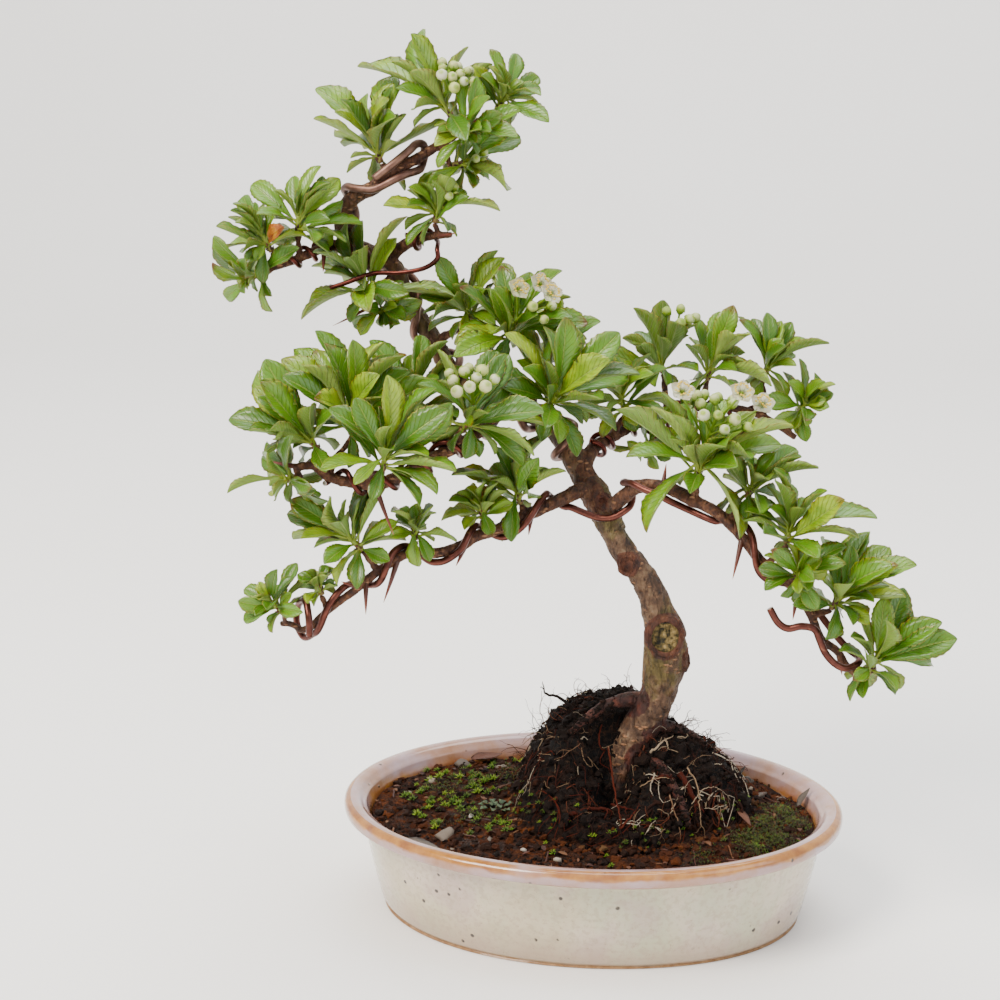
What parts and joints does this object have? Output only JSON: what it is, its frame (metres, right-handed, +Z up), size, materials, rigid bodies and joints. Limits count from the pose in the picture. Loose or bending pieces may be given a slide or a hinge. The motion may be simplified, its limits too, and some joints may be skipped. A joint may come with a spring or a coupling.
{
  "type": "flowering bonsai tree",
  "caption": "Pyracantha trained as an informal upright bonsai, with wired branches, serrated leaves, cream flower heads and a bare root mound in a low oval glazed pot.",
  "frame": {"origin": "centre of the pot's flat base", "axes": "+X along the pot's long side, to the right in the picture; -Y the front; +Z up"},
  "size_m": [0.268, 0.1453, 0.3284],
  "materials": {
    "pot_glaze": "gloss",
    "net_plastic": "satin",
    "soil": "matte",
    "root_peat": "matte",
    "bark": "matte",
    "wire_copper": "satin",
    "leaf_green": "satin",
    "flower_cream": "matte"
  },
  "bodies": {
    "root": {"drain_net_left": "net_plastic", "drain_net_right": "net_plastic", "flowers_apex": "flower_cream", "flowers_crown": "flower_cream", "flowers_left": "flower_cream", "flowers_right": "flower_cream", "flowers_right_back": "flower_cream", "flowers_under": "flower_cream", "flowers_upper_right": "flower_cream", "leaves_apex_left": "leaf_green", "leaves_apex_low": "leaf_green", "leaves_apex_right": "leaf_green", "leaves_apex_under": "leaf_green", "leaves_centre_front": "leaf_green", "leaves_centre_right": "leaf_green", "leaves_crown_left": "leaf_green", "leaves_crown_mid": "leaf_green", "leaves_crown_right": "leaf_green", "leaves_far_left_a": "leaf_green", "leaves_far_left_b": "leaf_green", "leaves_far_left_c": "leaf_green", "leaves_left_back": "leaf_green", "leaves_left_flower": "leaf_green", "leaves_left_front": "leaf_green", "leaves_left_low": "leaf_green", "leaves_left_outer": "leaf_green", "leaves_left_upper": "leaf_green", "leaves_low_left_a": "leaf_green", "leaves_low_left_b": "leaf_green", "leaves_low_left_c": "leaf_green", "leaves_low_left_d": "leaf_green", "leaves_low_left_e": "leaf_green", "leaves_low_left_tip": "leaf_green", "leaves_low_right_a": "leaf_green", "leaves_low_right_b": "leaf_green", "leaves_low_right_c": "leaf_green", "leaves_low_right_d": "leaf_green", "leaves_low_right_tip": "leaf_green", "leaves_mid_left_low": "leaf_green", "leaves_mid_left_tuft": "leaf_green", "leaves_right_bud": "leaf_green", "leaves_right_end": "leaf_green", "leaves_right_far": "leaf_green", "leaves_right_flower": "leaf_green", "leaves_right_inner": "leaf_green", "leaves_right_up": "leaf_green", "leaves_upper_left_tuft": "leaf_green", "leaves_upper_right_tuft": "leaf_green", "pot": "pot_glaze", "root_ball": "root_peat", "soil": "soil", "wire_lower": "wire_copper", "wire_middle_left": "wire_copper", "wire_middle_right": "wire_copper", "wire_trunk": "wire_copper", "wire_upper_left": "wire_copper", "wire_upper_right": "wire_copper", "wood": "bark"}
  },
  "joints": []
}
